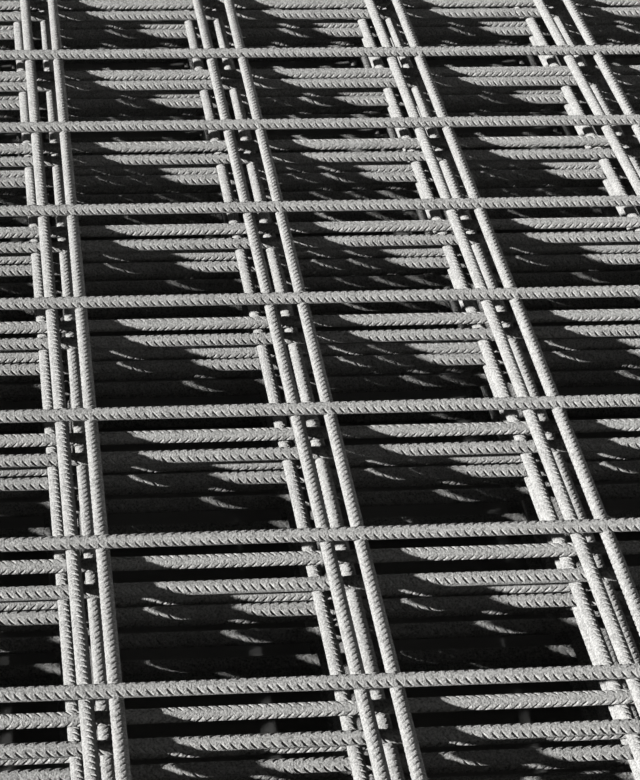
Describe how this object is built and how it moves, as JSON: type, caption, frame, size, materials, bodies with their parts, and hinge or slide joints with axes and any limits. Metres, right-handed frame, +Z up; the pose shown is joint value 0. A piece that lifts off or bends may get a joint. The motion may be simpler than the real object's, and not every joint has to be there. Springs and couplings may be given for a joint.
{
  "type": "welded wire mesh stack",
  "caption": "Flat pile of welded reinforcing mesh sheets of ribbed steel bar in square cells, every second sheet turned over so that the bars nest.",
  "frame": {"origin": "on the floor, under the middle of the stack", "axes": "+Z up, +Y along the long bars of the sheets, +X along their cross bars"},
  "size_m": [1.028, 2.044, 0.0836],
  "materials": {
    "ribbed_steel": "hot-rolled ribbed bar, matt pale grey"
  },
  "bodies": {
    "root": {"mesh_sheet_01": "ribbed_steel", "mesh_sheet_02": "ribbed_steel", "mesh_sheet_03": "ribbed_steel", "mesh_sheet_04": "ribbed_steel", "mesh_sheet_05": "ribbed_steel", "mesh_sheet_06": "ribbed_steel", "mesh_sheet_07": "ribbed_steel", "mesh_sheet_08": "ribbed_steel", "mesh_sheet_09": "ribbed_steel", "mesh_sheet_10": "ribbed_steel"}
  },
  "joints": []
}
